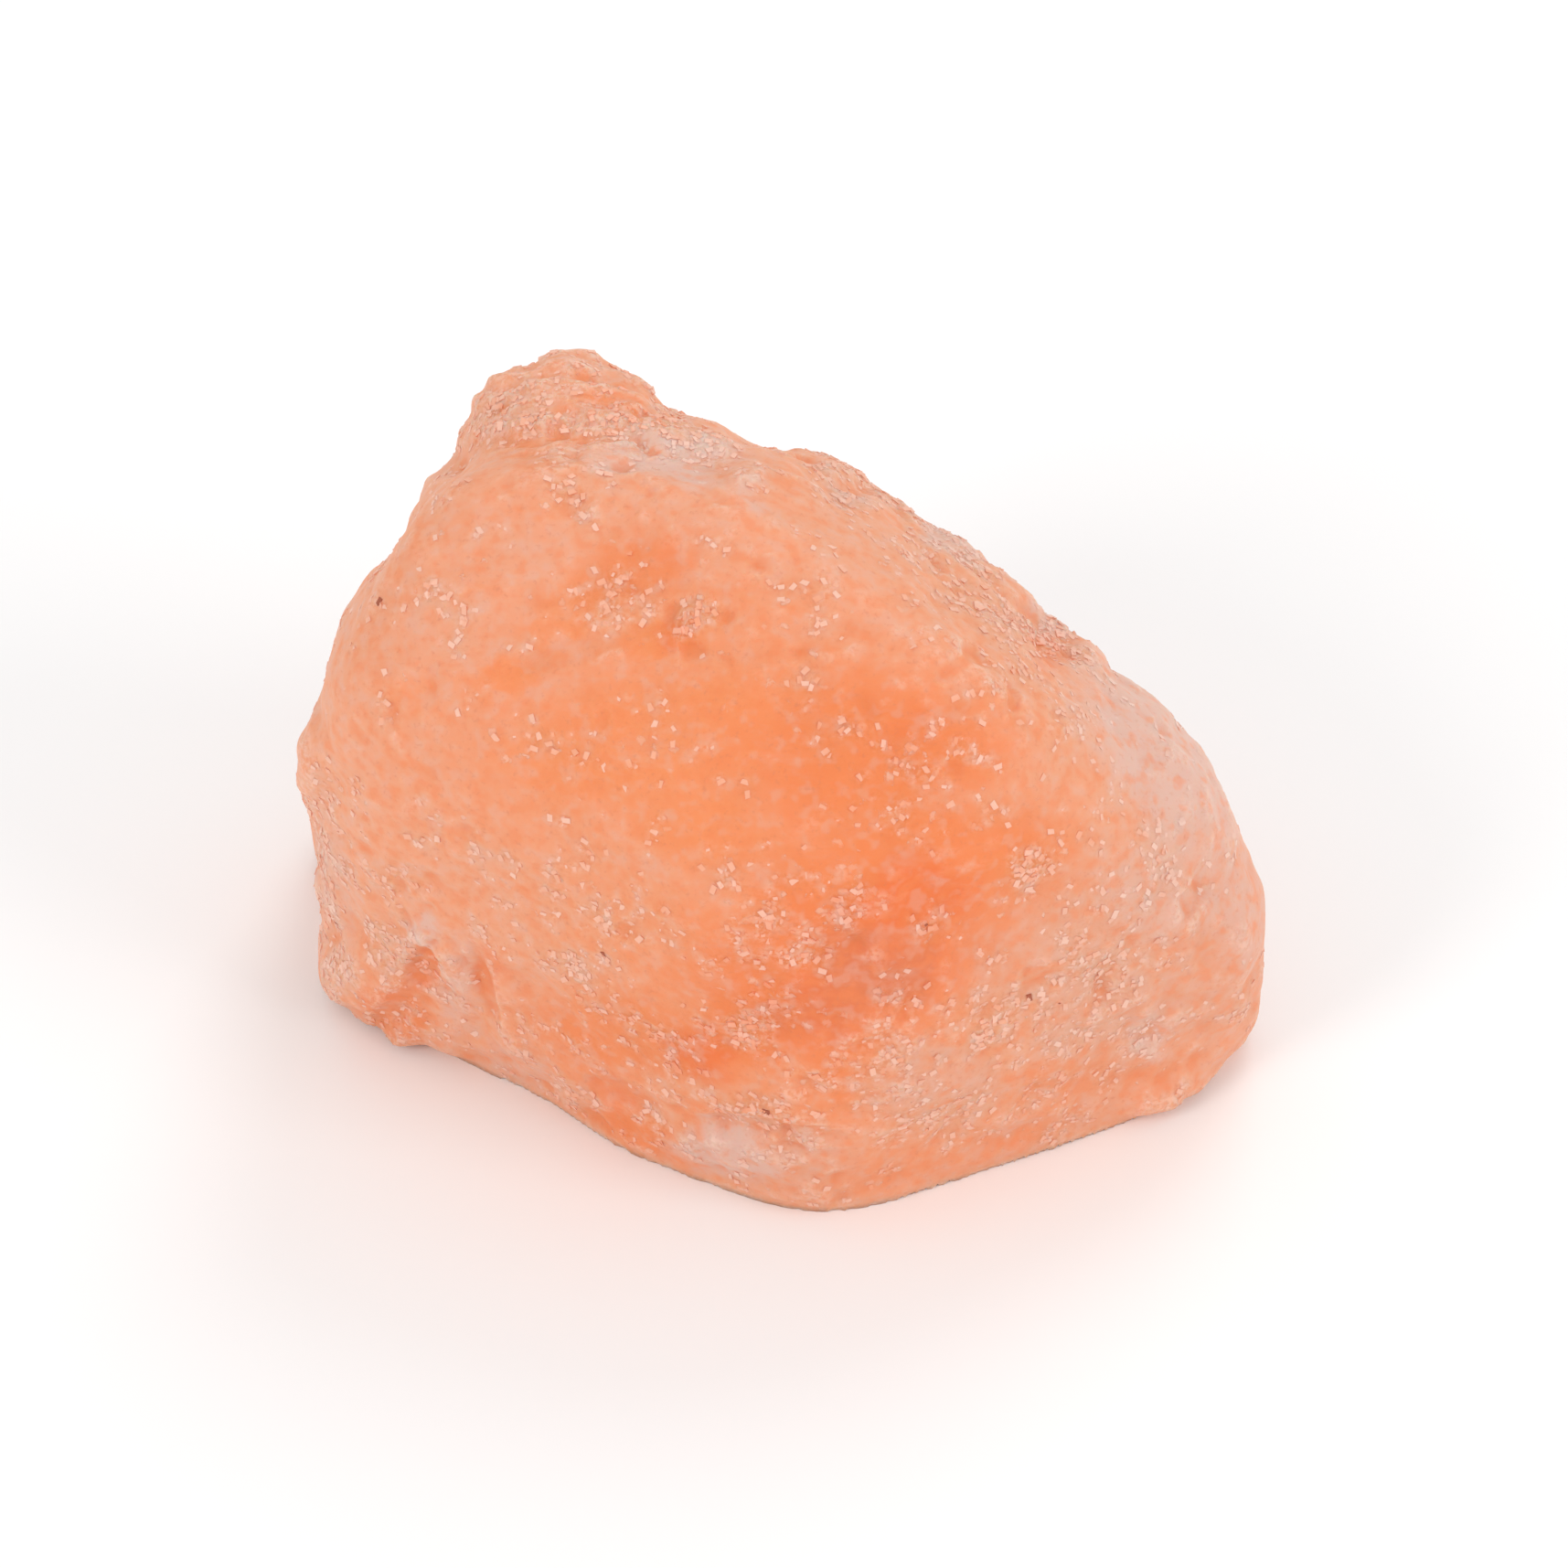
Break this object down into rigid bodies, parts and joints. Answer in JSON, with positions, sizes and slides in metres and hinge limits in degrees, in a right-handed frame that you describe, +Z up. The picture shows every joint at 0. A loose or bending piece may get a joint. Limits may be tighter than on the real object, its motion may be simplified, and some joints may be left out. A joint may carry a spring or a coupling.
{
  "type": "halite crystal chunk",
  "caption": "Rough chunk of pink halite (rock salt) with a broad domed front, a knobbed crest and worn edges, lying on a flat fracture.",
  "frame": {"origin": "on the flat resting face, under the middle of the chunk's box", "axes": "+X along the chunk's longest side, +Z up; the broad worn face looks towards -Y and upwards"},
  "size_m": [0.0446, 0.0352, 0.032],
  "materials": {
    "pink_halite": "satin"
  },
  "bodies": {
    "root": {"halite_chunk": "pink_halite"}
  },
  "joints": []
}
